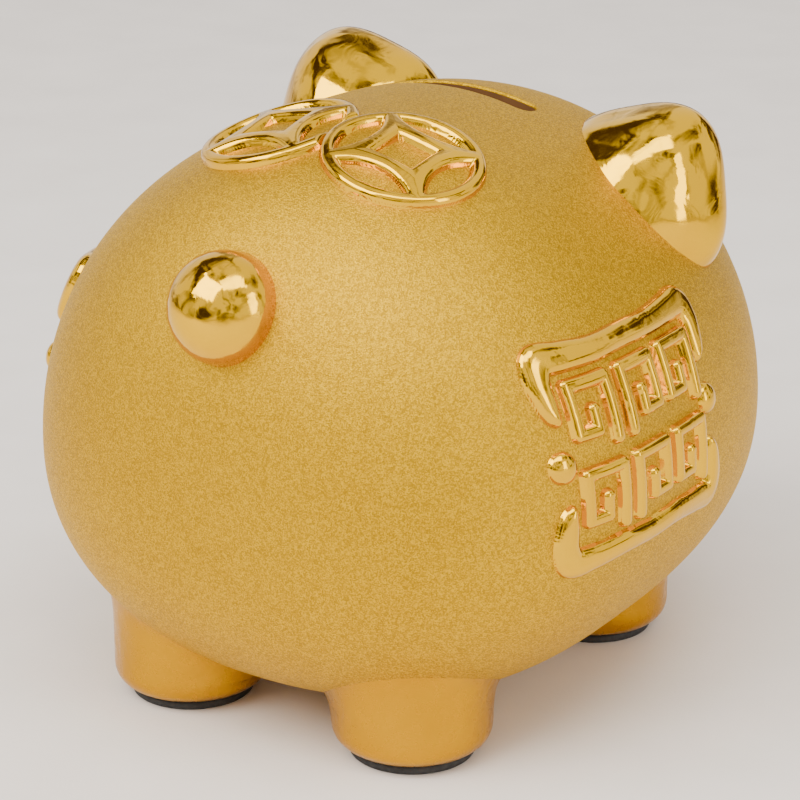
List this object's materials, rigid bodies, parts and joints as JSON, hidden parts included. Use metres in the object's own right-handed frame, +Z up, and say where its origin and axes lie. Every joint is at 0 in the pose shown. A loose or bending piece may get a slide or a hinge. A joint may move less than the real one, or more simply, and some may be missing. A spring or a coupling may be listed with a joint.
{
  "type": "piggy bank",
  "caption": "Fat gold-plated ceramic pig money bank with a coin slot in its back, raised coins and scrollwork, short legs on rubber pads and a rubber belly stopper.",
  "frame": {"origin": "under the middle of the pig's bounding box, level with the bottoms of the foot pads", "axes": "+Z up, the face towards -Y and the tail towards +Y, the pig's left towards +X"},
  "size_m": [0.1434, 0.169, 0.1298],
  "materials": {
    "frosted_gold": "fine sand-textured gold plating over slip-cast ceramic",
    "mirror_gold": "mirror-polished gold plating over ceramic",
    "leg_gold": "smooth, slightly wavy gold plating over ceramic",
    "black_glaze": "glossy black glaze",
    "black_pad": "matte black foam rubber",
    "stopper_rubber": "soft matte black rubber"
  },
  "bodies": {
    "bank": {"body_shell": "frosted_gold", "left_ear": "mirror_gold", "right_ear": "mirror_gold", "left_eye": "black_glaze", "right_eye": "black_glaze", "snout": "mirror_gold", "tail_knob": "mirror_gold", "front_left_leg": "leg_gold", "front_right_leg": "leg_gold", "rear_left_leg": "leg_gold", "rear_right_leg": "leg_gold", "front_left_pad": "black_pad", "front_right_pad": "black_pad", "rear_left_pad": "black_pad", "rear_right_pad": "black_pad", "left_back_coin": "mirror_gold", "right_back_coin": "mirror_gold", "left_upper_band": "mirror_gold", "left_lower_band": "mirror_gold", "left_fret_panel": "mirror_gold", "left_front_bead": "mirror_gold", "left_back_bead": "mirror_gold", "right_upper_band": "mirror_gold", "right_lower_band": "mirror_gold", "right_fret_panel": "mirror_gold", "right_front_bead": "mirror_gold", "right_back_bead": "mirror_gold"},
    "stopper": {"belly_stopper": "stopper_rubber"}
  },
  "joints": [
    {"name": "stopper_pull", "type": "slide", "parent": "bank", "child": "stopper", "axis": [0, 0, -1], "range_m": [0, 0.03]}
  ]
}
